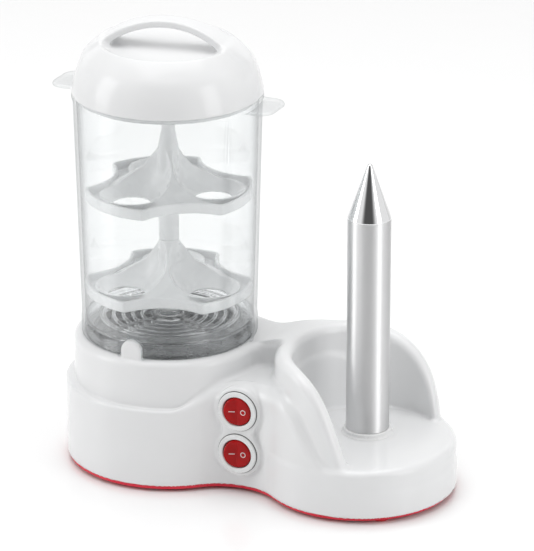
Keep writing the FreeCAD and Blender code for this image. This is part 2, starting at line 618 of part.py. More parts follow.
def steam_container():
    """Clear tapered tube on a short skirt, with two ears, a hood over the key and a ledge for the grate."""
    foot_z = TOWER_TOP_Z + SEAT_GAP
    tube = lathe([(SKIRT_R - CLEAR_WALL, foot_z), (SKIRT_R, foot_z), (SKIRT_R, GRATE_Z - 0.5),
                  (CONTAINER_FOOT_R, GRATE_Z), (CONTAINER_RIM_R, CONTAINER_RIM_Z),
                  (CONTAINER_RIM_R - CLEAR_WALL, CONTAINER_RIM_Z), (CONTAINER_FOOT_R - CLEAR_WALL, GRATE_Z),
                  (CONTAINER_FOOT_R - CLEAR_WALL, GRATE_Z - 2), (47.5, GRATE_Z - 2), (47.5, GRATE_Z - 3.2),
                  (SKIRT_R - CLEAR_WALL, GRATE_Z - 3.2)], TOWER_X)
    ears = [ear(), ear()]
    ears[1].rotate(Vector(TOWER_X, 0, 0), UP, 180)
    bore = rod(CONTAINER_RIM_R - 1, CONTAINER_RIM_Z - 4, CONTAINER_RIM_Z + 1, TOWER_X)
    ears = [e.cut(bore) for e in ears]
    hood_w = KEY_W + 4.6
    arch_z = KEY_TOP_Z - KEY_W / 2
    front = -SKIRT_R - 2.0
    hood = box(TOWER_X - hood_w / 2, TOWER_X + hood_w / 2, front, -SKIRT_R + 2.6, foot_z, arch_z)
    hood = hood.fuse(Part.makeCylinder(hood_w / 2, 4.6, Vector(TOWER_X, front, arch_z), Vector(0, 1, 0)))
    hood = hood.cut(box(TOWER_X - 20, TOWER_X + 20, front - 1, -SKIRT_R + 4, foot_z - 20, foot_z))
    notch_w = KEY_W + 1.2
    notch = box(TOWER_X - notch_w / 2, TOWER_X + notch_w / 2, front - 1, -SKIRT_R + 2.7, foot_z - 1, arch_z)
    notch = notch.fuse(Part.makeCylinder(notch_w / 2, 5.7, Vector(TOWER_X, front - 1, arch_z), Vector(0, 1, 0)))
    lug = box(TOWER_X + SKIRT_R - 1.4, TOWER_X + SKIRT_R + 1.6, -2, 2, foot_z, GRATE_Z + 4)
    return fuse([tube] + ears + [hood, lug]).cut(notch)


def steam_grate():
    """Clear slotted floor with concentric slots, four ribs and a socket for the rack's stem."""
    z0 = GRATE_Z - 2
    disc = rod(CONTAINER_FOOT_R - CLEAR_WALL - 0.1, z0, GRATE_Z, TOWER_X)
    ribs = []
    for a in (-115, -25, 65, 155):
        rib = box(TOWER_X, TOWER_X + 45, -1.8, 1.8, z0 - 1, GRATE_Z + 1)
        rib.rotate(Vector(TOWER_X, 0, 0), UP, a)
        ribs.append(rib)
    keep = compound(ribs)
    slots = [ring(r + 3.4, r, z0 - 1, GRATE_Z + 1, TOWER_X).cut(keep) for r in (12, 17.6, 23.2, 28.8, 34.4)]
    return disc.cut(compound(slots)).fuse(ring(8.2, STEM_R + 0.3, GRATE_Z, GRATE_Z + 3, TOWER_X))


# ---------------------------------------------------------------- egg racks

def scalloped_outline(turn, inset=0.0):
    """Closed wire: a circle with three hollow scallops, turned so that one is centred on turn."""
    half = math.radians(SCALLOP_HALF)
    corner_x, corner_y = RACK_R * math.cos(half), RACK_R * math.sin(half)
    # circle through a corner and the scallop's deepest point, centred on the scallop's middle line
    far = (corner_x ** 2 + corner_y ** 2 - SCALLOP_DEPTH_R ** 2) / (2 * (corner_x - SCALLOP_DEPTH_R))
    bite_r = far - SCALLOP_DEPTH_R + inset
    rim_r = RACK_R - inset
    along = (far ** 2 + rim_r ** 2 - bite_r ** 2) / (2 * far)
    edge = math.degrees(math.atan2(math.sqrt(rim_r ** 2 - along ** 2), along))
    arcs = []
    for k in range(3):
        a = turn + 120 * k
        start, end = polar(rim_r, a - edge, TOWER_X), polar(rim_r, a + edge, TOWER_X)
        arcs.append(Part.Arc(start, polar(far - bite_r, a, TOWER_X), end))
        arcs.append(Part.Arc(end, polar(rim_r, a + 60, TOWER_X), polar(rim_r, a + 120 - edge, TOWER_X)))
    return Part.Wire([a.toShape() for a in arcs])


def rack_tray(z, turn):
    """Tray of a rack: scalloped rim, floor, three holed egg cups and the cone up to the stem."""
    tray = prism(scalloped_outline(turn), z, z + RACK_RIM_H)
    tray = tray.cut(prism(scalloped_outline(turn, RACK_T), z + RACK_T, z + RACK_RIM_H + 1))
    cone = lathe([(0, z), (16, z), (16, z + RACK_T), (STEM_R, z + 12), (0, z + 12)], TOWER_X)
    whole = tray.fuse(cone)
    cups, holes = [], []
    for k in range(3):
        p = polar(EGG_SEAT_R, turn + 60 + 120 * k, TOWER_X)
        cups.append(lathe([(SEAT_HOLE_R, z), (SEAT_HOLE_R + 1.6, z), (17.5, z + 5), (16.5, z + 5.6),
                           (SEAT_HOLE_R, z + 1.6)], p.x, p.y))
        holes.append(lathe([(0, z - 1), (SEAT_HOLE_R, z - 1), (SEAT_HOLE_R, z + 1.6), (16.5, z + 5.6),
                            (22, z + 14), (0, z + 14)], p.x, p.y))
    return whole.fuse(cups).cut(compound(holes))


def lower_egg_rack():
    """White three-egg rack on a foot that stands in the grate's socket, with a spigot for the next."""
    z = LOWER_RACK_Z
    stem = [rod(STEM_R, GRATE_Z + SEAT_GAP, z + 1, TOWER_X), rod(STEM_R, z + 11, STEM_JOINT_Z, TOWER_X),
            rod(SPIGOT_R, STEM_JOINT_Z, STEM_JOINT_Z + 9, TOWER_X)]
    return fuse([rack_tray(z, LOWER_RACK_TURN)] + stem)


def upper_egg_rack():
    """White three-egg rack whose socket stands on the lower rack, with a thin stem to lift it by."""
    z = UPPER_RACK_Z
    stem = [ring(STEM_R, SPIGOT_R + 0.3, STEM_JOINT_Z + SEAT_GAP, STEM_JOINT_Z + 10, TOWER_X),
            rod(STEM_R, STEM_JOINT_Z + 9.8, z + 1, TOWER_X),
            lathe([(0, z + 11), (STEM_R, z + 11), (HANDLE_STEM_R, z + 16),
                   (HANDLE_STEM_R, HANDLE_STEM_TOP_Z - 1), (HANDLE_STEM_R - 1, HANDLE_STEM_TOP_Z),
                   (0, HANDLE_STEM_TOP_Z)], TOWER_X)]
    return fuse([rack_tray(z, UPPER_RACK_TURN)] + stem)


# ---------------------------------------------------------------- lid

def lid():
    """White dome with a plug ring, a sunken top and an arched handle that carries the dome's line."""
    centre_z = LID_TOP_Z - LID_DOME_R
    middle = Vector(TOWER_X, 0, centre_z)
    skirt = rod(LID_R, LID_FOOT_Z, LID_TOP_Z + 5, TOWER_X)
    outer = skirt.common(Part.makeSphere(LID_DOME_R, middle))
    hollow = rod(LID_R - LID_WALL, LID_FOOT_Z - 1, RECESS_FLOOR_Z - LID_WALL, TOWER_X)
    hollow = hollow.common(Part.makeSphere(LID_DOME_R - LID_WALL, middle))
    pocket = rod(RECESS_R, RECESS_FLOOR_Z, LID_TOP_Z + 5, TOWER_X)
    corners = {(i, j): Vector(TOWER_X + i * ARCH_END_X, j * ARCH_END_R, 0) for i in (-1, 1) for j in (-1, 1)}
    waist = [Part.Arc(corners[-j, j], Vector(TOWER_X, j * ARCH_MID_W / 2, 0), corners[j, j]) for j in (-1, 1)]
    ends = [Part.Arc(corners[i, -i], Vector(TOWER_X + i * (ARCH_END_X + ARCH_END_R), 0, 0), corners[i, i])
            for i in (-1, 1)]
    outline = Part.Wire(Part.__sortEdges__([arc.toShape() for arc in waist + ends]))
    band = prism(outline, centre_z + 20, LID_TOP_Z + 5)
    band = band.common(Part.makeSphere(LID_DOME_R + ARCH_PROUD, middle))
    band = band.cut(Part.makeSphere(LID_DOME_R - ARCH_T, middle))
    band.rotate(middle, UP, ARCH_TURN)
    shell = outer.cut(hollow).cut(pocket).fuse(band)
    seat_z = CONTAINER_RIM_Z + SEAT_GAP
    plug = ring(CONTAINER_RIM_R - CLEAR_WALL - 0.6, CONTAINER_RIM_R - CLEAR_WALL - 2.2, CONTAINER_RIM_Z - 2.4,
                seat_z + 1.6, TOWER_X)
    flange = ring(LID_R - 1, CONTAINER_RIM_R - CLEAR_WALL - 2.2, LID_FOOT_Z, LID_FOOT_Z + 1.6, TOWER_X)
    return fuse([shell, flange, plug])


def main():
    os.makedirs("parts", exist_ok=True)
    save("housing_shell", housing_shell())
    save("bottom_cover", bottom_cover())
    save("feet", feet())
    save("cover_screws", compound([screw_up(p, COVER_Z + 0.1, COVER_BOSS_TOP_Z - 5) for p in COVER_SCREWS]))
    save("heating_plate", heating_plate())
    save("plate_gasket", plate_gasket())
    save("heating_element", heating_element())
    save("plate_strap", plate_strap())
    save("plate_screws", compound([screw_up(p, STRAP_Z - 1.6, TOWER_TOP_Z - 6) for p in PLATE_SCREWS]))
    save("thermostat", thermostat())
    save("thermal_fuse", thermal_fuse())
    save("spike_tube", spike_tube())
    save("spike_tip", spike_tip())
    save("spike_collar", spike_collar())
    save("spike_cartridge", spike_cartridge())
    save("spike_bushings", spike_bushings())
    save("spike_bracket", spike_bracket())
    save("spike_screws", compound([screw_up(p, SPIKE_FOOT_Z - 3.6, BUN_EDGE_Z - 1) for p in SPIKE_SCREWS]))
    for name, z in SWITCH_Z.items():
        save(name + "_switch_body", switch_body(z))
        save(name + "_rocker", rocker(z))
    save("switch_lamps", switch_lamps())
    save("switch_terminals", switch_terminals())
    save("cord_gland", cord_gland())
    save("terminal_block", terminal_block())
    save("internal_wires", internal_wires())
    save("steam_container", steam_container())
    save("steam_grate", steam_grate())
    save("lower_egg_rack", lower_egg_rack())
    save("upper_egg_rack", upper_egg_rack())
    save("lid", lid())


main()
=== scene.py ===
"""Looks of the egg cooker with a bun spike: fine meshes and procedural materials round the CAD frame.

Shapes are worked out in millimetres, in the CAD frame, and turned to metres as each mesh is made.
The moulded pieces are surfaces of distance fields, so that every edge and every blend has a radius.
"""
import json
import math

import bmesh
import bpy
import numpy as np
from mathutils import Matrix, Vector

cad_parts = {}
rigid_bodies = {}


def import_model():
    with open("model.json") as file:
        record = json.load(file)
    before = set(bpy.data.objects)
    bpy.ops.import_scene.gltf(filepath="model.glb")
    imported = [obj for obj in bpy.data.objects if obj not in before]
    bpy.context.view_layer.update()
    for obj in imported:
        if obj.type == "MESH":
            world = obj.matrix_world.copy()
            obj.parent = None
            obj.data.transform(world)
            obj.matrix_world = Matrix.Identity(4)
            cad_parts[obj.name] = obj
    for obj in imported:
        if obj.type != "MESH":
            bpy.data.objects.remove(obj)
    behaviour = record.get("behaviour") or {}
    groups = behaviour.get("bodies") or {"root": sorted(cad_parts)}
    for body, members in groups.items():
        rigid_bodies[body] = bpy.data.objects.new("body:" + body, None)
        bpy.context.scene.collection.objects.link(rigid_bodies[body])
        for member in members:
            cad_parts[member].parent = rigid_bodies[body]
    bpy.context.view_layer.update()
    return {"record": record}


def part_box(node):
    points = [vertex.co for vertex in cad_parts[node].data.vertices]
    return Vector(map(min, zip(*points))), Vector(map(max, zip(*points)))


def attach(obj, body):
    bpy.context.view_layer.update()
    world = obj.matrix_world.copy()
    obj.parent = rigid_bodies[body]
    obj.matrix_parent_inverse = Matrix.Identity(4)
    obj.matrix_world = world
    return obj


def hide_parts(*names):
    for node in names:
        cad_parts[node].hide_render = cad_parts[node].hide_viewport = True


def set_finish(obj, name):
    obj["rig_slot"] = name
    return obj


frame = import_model()

MM = 0.001


def middle(node):
    """Centre of a node's box, in millimetres."""
    low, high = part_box(node)
    return [(a + b) / 2 / MM for a, b in zip(low, high)]


def low_mm(node):
    """Low corner of a node's box, in millimetres."""
    return [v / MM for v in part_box(node)[0]]


def high_mm(node):
    """High corner of a node's box, in millimetres."""
    return [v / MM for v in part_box(node)[1]]


# ---- places read from the frame, and the two lobes ----
TOWER_X = middle("heating_plate")[0]
SPIKE_X = middle("spike_tube")[0]
SWITCH_X = middle("upper_switch_body")[0]
SWITCH_Z = {"upper": middle("upper_switch_body")[2], "lower": middle("lower_switch_body")[2]}
BUN_R = 57.0
BUN_X = high_mm("housing_shell")[0] - BUN_R
COLLAR_TOP_Z = high_mm("spike_collar")[2]
SPIKE_TOP_Z = high_mm("spike_tube")[2]
TIP_Z = high_mm("spike_tip")[2]
LOWER_RACK_Z = 106.0
UPPER_RACK_Z = 165.0

# ---- housing ----
TOWER_R, TIER_R, WALL = 62.0, 57.0, 3.0
SHELL_Z, LEDGE_Z, TOWER_TOP_Z = 3.8, 51.5, 80.0
NECK_Z, BUN_EDGE_Z, BUN_CROWN_Z, SCREEN_Z = 66.5, 31.5, 35.5, 86.0
SCREEN_IN_R, SCREEN_OUT_R = 44.0, 54.5
WAIST_ROUND, FRONT_ROUND, BACK_ROUND = 38.0, 9.0, 60.0
PAD_Y, PAD_R, PAD_WAIST = -42.0, 14.6, 8.0
KEY_R, KEY_Y, KEY_T, KEY_MID_Z = 6.5, -51.9, 3.8, 84.5
DISH_HOLE_R, REBATE_R, REBATE_Z = 47.1, 50.1, 78.4
SPIKE_HOLE_R, SWITCH_HOLE_R = 13.2, 10.35
GLAND_X, GLAND_Z, GLAND_HOLE_R = TOWER_X + 65.2, 18.0, 6.0
NECK_X = TOWER_X + 63


# ================================================================ distance-field meshing

def round_and(a, b, r):
    """Both a and b, with an outer edge of radius r where they meet."""
    u, v = np.maximum(r + a, 0), np.maximum(r + b, 0)
    return np.minimum(-r, np.maximum(a, b)) + np.hypot(u, v)


def round_or(a, b, r):
    """Either a or b, with a fillet of radius r where they meet."""
    u, v = np.maximum(r - a, 0), np.maximum(r - b, 0)
    return np.maximum(r, np.minimum(a, b)) - np.hypot(u, v)


def ramp(x, x0, x1):
    """0 before x0, 1 after x1, smooth between."""
    t = np.clip((x - x0) / (x1 - x0), 0, 1)
    return t * t * (3 - 2 * t)


def net_vertices(f, low, step):
    """One vertex in every grid cell that the surface passes through, at the mean of its crossings."""
    cells = tuple(n - 1 for n in f.shape)
    total = np.zeros(cells + (3,), np.float32)
    count = np.zeros(cells, np.int8)
    for axis in range(3):
        near = np.take(f, range(f.shape[axis] - 1), axis)
        far = np.take(f, range(1, f.shape[axis]), axis)
        cross = (near < 0) != (far < 0)
        where = np.where(cross, near / np.where(cross, near - far, 1), 0)
        others = [a for a in range(3) if a != axis]
        for i in (0, 1):
            for j in (0, 1):
                cut = [slice(None)] * 3
                cut[others[0]] = slice(i, cells[others[0]] + i)
                cut[others[1]] = slice(j, cells[others[1]] + j)
                c = cross[tuple(cut)]
                total[..., axis] += where[tuple(cut)]
                total[..., others[0]] += i * c
                total[..., others[1]] += j * c
                count += c
    live = count > 0
    corner = np.argwhere(live)
    points = low + step * (corner + total[live] / count[live][:, None])
    index = np.full(cells, -1, np.int32)
    index[live] = np.arange(len(corner))
    return points, index


def net_faces(f, index):
    """A quad across every grid edge that the surface crosses."""
    quads = []
    for axis in range(3):
        b, c = (axis + 1) % 3, (axis + 2) % 3
        near = np.take(f, range(f.shape[axis] - 1), axis) < 0
        far = np.take(f, range(1, f.shape[axis]), axis) < 0
        edges = np.argwhere(near != far)
        inner = (edges[:, b] > 0) & (edges[:, c] > 0)
        inner &= (edges[:, b] < f.shape[b] - 1) & (edges[:, c] < f.shape[c] - 1)
        edges = edges[inner]
        ring = []
        for db, dc in ((1, 1), (0, 1), (0, 0), (1, 0)):
            cell = edges.copy()
            cell[:, b] -= db
            cell[:, c] -= dc
            ring.append(index[cell[:, 0], cell[:, 1], cell[:, 2]])
        quad = np.stack(ring, 1)
        outward = near[edges[:, 0], edges[:, 1], edges[:, 2]]
        quad[~outward] = quad[~outward][:, ::-1]
        quads.append(quad)
    return np.concatenate(quads)


def settle(field, points, step, rounds=4):
    """Moves the points onto the surface itself, along its slope."""
    e = 0.05 * step
    p = points.astype(np.float64)
    for _ in range(rounds):
        d = field(p[:, 0], p[:, 1], p[:, 2])
        rises = [field(*(p + e * unit).T) - field(*(p - e * unit).T) for unit in np.eye(3)]
        slope = np.stack(rises, 1) / (2 * e)
        size = np.maximum((slope ** 2).sum(1), 0.3)
        move = -slope * (d / size)[:, None]
        reach = np.linalg.norm(move, axis=1, keepdims=True)
        p += move * np.minimum(1, 0.4 * step / np.maximum(reach, 1e-9))
    return p


def relax(points, quads):
    """Each point halfway to the middle of its neighbours."""
    total = np.zeros_like(points)
    count = np.zeros(len(points))
    for i in range(4):
        for j in ((i + 1) % 4, (i + 3) % 4):
            for axis in range(3):
                total[:, axis] += np.bincount(quads[:, i], points[quads[:, j], axis], len(points))
            count += np.bincount(quads[:, i], minlength=len(points))
    return 0.5 * points + 0.5 * total / np.maximum(count, 1)[:, None]


def field_mesh(name, field, low, high, step):
    """Closed mesh of the surface where field is 0; field is negative inside. All in millimetres."""
    low = np.array(low, float)
    axes = [np.arange(a, b + step, step) for a, b in zip(low, high)]
    grid = np.meshgrid(*axes, indexing="ij", sparse=True)
    f = (field(*grid) + np.zeros([len(a) for a in axes])).astype(np.float32)
    points, index = net_vertices(f, low, step)
    quads = net_faces(f, index)
    for _ in range(2):
        points = relax(settle(field, points, step, 2), quads)
    return new_mesh(name, settle(field, points, step, 3), quads)


def new_mesh(name, points, faces, smooth=True):
    """Object from points in millimetres."""
    mesh = bpy.data.meshes.new(name)
    mesh.from_pydata((np.asarray(points) * MM).tolist(), [], [list(map(int, q)) for q in faces])
    mesh.validate()
    mesh.polygons.foreach_set("use_smooth", [smooth] * len(mesh.polygons))
    mesh.update()
    obj = bpy.data.objects.new(name, mesh)
    bpy.context.scene.collection.objects.link(obj)
    return obj


# ================================================================ housing

def top_line(pieces):
    """Height and slope of a line of straight and Bezier pieces, as functions of x."""
    xs, zs = [], []
    t = np.linspace(0, 1, 60)
    for piece in pieces:
        p = np.array(piece, float)
        if len(p) == 2:
            curve = np.outer(1 - t, p[0]) + np.outer(t, p[1])
        else:
            weights = [(1 - t) ** 3, 3 * t * (1 - t) ** 2, 3 * t * t * (1 - t), t ** 3]
            curve = sum(np.outer(w, q) for w, q in zip(weights, p))
        xs.append(curve[:, 0])
        zs.append(curve[:, 1])
    xs, zs = np.concatenate(xs), np.concatenate(zs)
    slopes = np.gradient(zs, xs + np.arange(len(xs)) * 1e-6)
    return lambda x: (np.interp(x, xs, zs), np.interp(x, xs, slopes))


X = TOWER_X
LOWER_TOP = top_line([
    [(-200, LEDGE_Z), (X + 24, LEDGE_Z)],
    [(X + 24, LEDGE_Z), (X + 37, LEDGE_Z), (X + 37, NECK_Z - 2), (X + 58, NECK_Z)],
    [(X + 58, NECK_Z), (X + 86, NECK_Z + 2.5)],
    [(X + 86, NECK_Z + 2.5), (X + 112, NECK_Z + 4), (X + 112, BUN_EDGE_Z), (X + 128, BUN_EDGE_Z)],
    [(X + 128, BUN_EDGE_Z), (200, BUN_EDGE_Z)],
])
RISE = [(X + 52, TOWER_TOP_Z), (X + 64, TOWER_TOP_Z), (X + 68, SCREEN_Z), (X + 86, SCREEN_Z)]
FRONT_TOP = top_line([
    [(-200, TOWER_TOP_Z), RISE[0]], RISE,
    [RISE[3], (X + 120, SCREEN_Z + 1), (X + 123, 66), (X + 137, 28)],
    [(X + 137, 28), (X + 137.5, 20)], [(X + 137.5, 20), (200, 20)],
])
BACK_TOP = top_line([
    [(-200, TOWER_TOP_Z), RISE[0]], RISE,
    [RISE[3], (X + 132, SCREEN_Z), (X + 155, 68), (X + 158.5, 28)],
    [(X + 158.5, 28), (X + 159, 20)], [(X + 159, 20), (200, 20)],
])


def under(line, x, z):
    """Distance above a top line, measured square to it."""
    height, slope = line(x)
    return (z - height) / np.sqrt(1 + slope ** 2)


def waisted(x, y, left, left_r, right, right_r, hollow):
    """Distance from the outline round two circles with a hollow arc between them, y folded over."""
    y = np.abs(y)
    span, reach_l, reach_r = right - left, left_r + hollow, right_r + hollow
    dx = (span ** 2 + reach_l ** 2 - reach_r ** 2) / (2 * span)
    hx, hy = left + dx, math.sqrt(reach_l ** 2 - dx ** 2)
    px, py = x - hx, y - hy
    from_left = (left - hx) * py + hy * px
    from_right = (right - hx) * py + hy * px
    between = (from_left > 0) & (from_right < 0) | (from_left < 0) & (from_right > 0)
    between &= py < 0
    circles = np.minimum(np.hypot(x - left, y) - left_r, np.hypot(x - right, y) - right_r)
    return np.where(between, hollow - np.hypot(px, py), circles)


def housing_form(x, y, z):
    """Housing without its holes and without a lower end."""
    foot = waisted(x, y, TOWER_X, TOWER_R, BUN_X, BUN_R, WAIST_ROUND)
    soft = ramp(x, X + 26, X + 44)
    lower_edge = 1.4 + 6.4 * soft * (1 - ramp(x, X + 96, X + 122)) + 1.8 * ramp(x, X + 96, X + 122)
    lower = round_and(foot, under(LOWER_TOP, x, z), lower_edge)

    front = waisted(x, y, TOWER_X, TIER_R, SPIKE_X, SCREEN_OUT_R, FRONT_ROUND)
    back = waisted(x, y, TOWER_X, TIER_R, SPIKE_X, SCREEN_OUT_R, BACK_ROUND)
    tier = np.where(y < 0, front, back)
    bun_wall = SCREEN_IN_R - np.hypot(x - SPIKE_X, y)
    top = np.where(y < 0, under(FRONT_TOP, x, z), under(BACK_TOP, x, z))
    wall = np.maximum(tier, bun_wall)
    upper = round_and(np.maximum(wall, foot), top, 4.8)
    lower = round_and(lower, bun_wall, 2.0)
    both = round_or(lower, upper, 0.9 + 2.6 * soft)

    reach = np.hypot(x - SPIKE_X, y)
    crown = z - np.interp(reach, [0, 18, 62, 70], [BUN_CROWN_Z, BUN_CROWN_Z, BUN_EDGE_Z, BUN_EDGE_Z - 1])
    bun = round_and(np.hypot(x - BUN_X, y) - BUN_R, crown, 3.6)
    return round_or(both, bun, 1.8)


def housing_field(x, y, z):
    """Hollow housing, open below, with its switch pad, its key and its holes; solid inside the neck."""
    form = housing_form(x, y, z)
    pad_outline = waisted(z, x - SWITCH_X, SWITCH_Z["lower"], PAD_R, SWITCH_Z["upper"], PAD_R, PAD_WAIST)
    pad = np.maximum(round_and(pad_outline, PAD_Y - y, 1.7), y + 30)
    outer = round_or(form, pad, 1.6)

    key = np.hypot(x - TOWER_X, np.maximum(z - KEY_MID_Z, 0)) - KEY_R
    key = round_and(key, np.abs(y - KEY_Y) - KEY_T / 2, 0.9)
    key = np.maximum(key, 77 - z)
    outer = round_or(outer, key, 0.6)

    neck = np.maximum(np.maximum(np.abs(y) - 7, np.abs(x - NECK_X) - 15), 46 - z)
    inner = np.maximum(form + WALL, -neck)
    shell = round_and(outer, -inner, 0.3)
    shell = round_and(shell, SHELL_Z - z, 0.5)

    r_tower = np.hypot(x - TOWER_X, y)
    dish = np.maximum(r_tower - DISH_HOLE_R, 60 - z)
    rebate = np.maximum(r_tower - REBATE_R, REBATE_Z - z)
    spike = np.maximum(np.hypot(x - SPIKE_X, y) - SPIKE_HOLE_R, 20 - z)
    gland = np.maximum(np.hypot(x - GLAND_X, z - GLAND_Z) - GLAND_HOLE_R, 20 - y)
    holes = np.minimum(np.minimum(dish, rebate), np.minimum(spike, gland))
    for z0 in SWITCH_Z.values():
        switch = np.maximum(np.hypot(x - SWITCH_X, z - z0) - SWITCH_HOLE_R, y + 24)
        holes = np.minimum(holes, switch)
    return round_and(shell, -holes, 0.25)


def housing_box():
    """Box of the housing with a margin, in millimetres."""
    low = [v - 2.3 for v in low_mm("housing_shell")]
    high = [v + 2.3 for v in high_mm("housing_shell")]
    low[1], high[1] = -64.4, 64.4
    return low, high


# ================================================================ lid

LID_R, DOME_R, DOME_MID_Z, LID_FOOT_Z = 57.5, 63.9, 208.7, 228.8
RECESS_Z, RECESS_R, RECESS_LEAN = 256.0, 36.4, 0.643
LID_WALL, PLUG_R, PLUG_Z = 2.2, 52.1, 227.4
STRAP_MID_W, STRAP_END_R, STRAP_END_X, STRAP_T, STRAP_PROUD = 6.5, 12.0, 38.0, 4.2, 0.5
STRAP_TURN = math.radians(11)


def lid_field(x, y, z):
    """Domed lid with a sunken top, a strap across it to lift by, and a plug ring below."""
    u, v = x - TOWER_X, y
    r = np.hypot(u, v)
    ball = np.sqrt(r * r + (z - DOME_MID_Z) ** 2)
    dome = round_and(ball - DOME_R, r - LID_R, 9.0)
    lean = math.hypot(1, RECESS_LEAN)
    pocket = round_and((r - RECESS_R - RECESS_LEAN * (z - RECESS_Z)) / lean, RECESS_Z - z, 2.2)
    body = round_and(dome, -pocket, 1.3)
    along = np.abs(u * math.cos(STRAP_TURN) + v * math.sin(STRAP_TURN))
    across = v * math.cos(STRAP_TURN) - u * math.sin(STRAP_TURN)
    half = STRAP_MID_W + (STRAP_END_R - STRAP_MID_W) * np.minimum(along / STRAP_END_X, 1) ** 2
    plan = np.hypot(np.maximum(along - STRAP_END_X, 0), across) - half
    strap_out_r = DOME_R + STRAP_PROUD
    strap = round_and(plan, ball - strap_out_r, 1.1)
    strap = round_and(strap, strap_out_r - STRAP_T - ball, 1.0)
    strap = np.maximum(strap, 240 - z)
    body = round_or(body, strap, 4.5)
    inner = round_and(ball - DOME_R + LID_WALL, r - LID_R + LID_WALL, 8.0)
    inner = round_and(inner, z - RECESS_Z + LID_WALL, 2.0)
    shell = round_and(body, -inner, 0.4)
    shell = round_and(shell, LID_FOOT_Z - z, 0.45)
    flange = np.maximum(np.maximum(r - 56, 51.3 - r), np.abs(z - LID_FOOT_Z - 0.8) - 0.8)
    plug = round_and(np.abs(r - PLUG_R) - 0.8, np.abs(z - PLUG_Z) - 1.8, 0.35)
    return round_or(shell, np.minimum(flange, plug), 0.3)


# ================================================================ racks

RACK_R, SCALLOP_R, SCALLOP_HALF = 49.6, 36.0, math.radians(27)
SEAT_R, EGG_R, EGG_RISE, CUP_HOLE_R = 28.0, 23.6, 21.9, 11.0
STEM_R, SPIGOT_R, SPIGOT_TOP_Z, SOCKET_R = 6.0, 3.9, 146.0, 4.2
LOWER_STEM_TOP_Z, UPPER_STEM_TOP_Z = 137.0, 222.0


def rack_field(z0, turn, foot_z, joint):
    """Tray with three holed cups between three scallops, and ribs between the cups up to the stem."""
    corner = RACK_R * math.cos(SCALLOP_HALF), RACK_R * math.sin(SCALLOP_HALF)
    far = (corner[0] ** 2 + corner[1] ** 2 - SCALLOP_R ** 2) / (2 * (corner[0] - SCALLOP_R))
    bite = far - SCALLOP_R
    egg_z = z0 + EGG_RISE
    lower = joint == "spigot"
    ridge_top = LOWER_STEM_TOP_Z - z0 if lower else 30.0

    def field(x, y, z):
        u, v = x - TOWER_X, y
        r = np.hypot(u, v)
        outline = r - RACK_R
        hollow, ball, hole = 1e3, 1e3, 1e3
        for k in range(3):
            a = math.radians(turn + 120 * k)
            gap = bite - np.hypot(u - far * math.cos(a), v - far * math.sin(a))
            outline = round_and(outline, gap, 2.2)
            b = a + math.radians(60)
            flat = np.hypot(u - SEAT_R * math.cos(b), v - SEAT_R * math.sin(b))
            hollow = np.minimum(hollow, np.hypot(flat, np.minimum(z - egg_z, 0)) - EGG_R)
            ball = np.minimum(ball, np.hypot(flat, z - egg_z) - EGG_R)
            hole = np.minimum(hole, flat - CUP_HOLE_R)
        floor = np.maximum(outline + 0.4, np.abs(z - z0 - 0.9) - 0.9)
        band = round_and(np.abs(outline + 0.95) - 0.95, np.abs(z - z0 - 3.25) - 3.25, 0.7)
        bowls = round_and(ball - 1.3, z - z0 - 6.4, 0.5)
        ridge = z - z0 - np.interp(r, [0, 5, 16, 36, 60], [ridge_top, ridge_top, 15.5, 3.0, -12])
        pyramid = np.maximum(ridge * 0.75, outline + 1.0)
        tray = round_or(round_or(floor, band, 0.8), np.maximum(bowls, outline + 0.5), 0.8)
        tray = round_or(tray, pyramid, 0.8)
        tray = np.maximum(tray, z0 - z)
        tray = round_and(tray, -hollow, 0.45)
        tray = round_and(tray, -hole, 0.4)
        if lower:
            stem = round_and(r - STEM_R, np.maximum(foot_z - z, z - LOWER_STEM_TOP_Z), 0.5)
            spigot = round_and(r - SPIGOT_R, np.maximum(130.0 - z, z - SPIGOT_TOP_Z), 0.6)
            return np.minimum(round_or(tray, stem, 1.2), spigot)
        stem = round_and(r - STEM_R, np.maximum(foot_z - z, z - z0 - 11), 0.5)
        socket = np.maximum(r - SOCKET_R, z - SPIGOT_TOP_Z - 1)
        slim = np.interp(z, [z0 + 10, z0 + 30, z0 + 40], [STEM_R, STEM_R, 4.0])
        handle = round_and(r - slim, np.maximum(z0 + 8 - z, z - UPPER_STEM_TOP_Z), 0.9)
        whole = round_or(round_or(tray, stem, 1.2), handle, 0.6)
        return round_and(whole, -socket, 0.3)

    return field


# ================================================================ clear container and grate

SKIRT_R, CONTAINER_FOOT_R, CONTAINER_RIM_R, CLEAR_WALL = 52.4, 52.0, 55.5, 2.0
CONTAINER_FOOT_Z, GRATE_TOP_Z, CONTAINER_RIM_Z = 80.1, 90.0, 228.0
EAR_REACH, EAR_HALF_W, EAR_ROUND = 71.0, 15.0, 9.0
SLOT_W, RIB_W = 3.4, 3.6


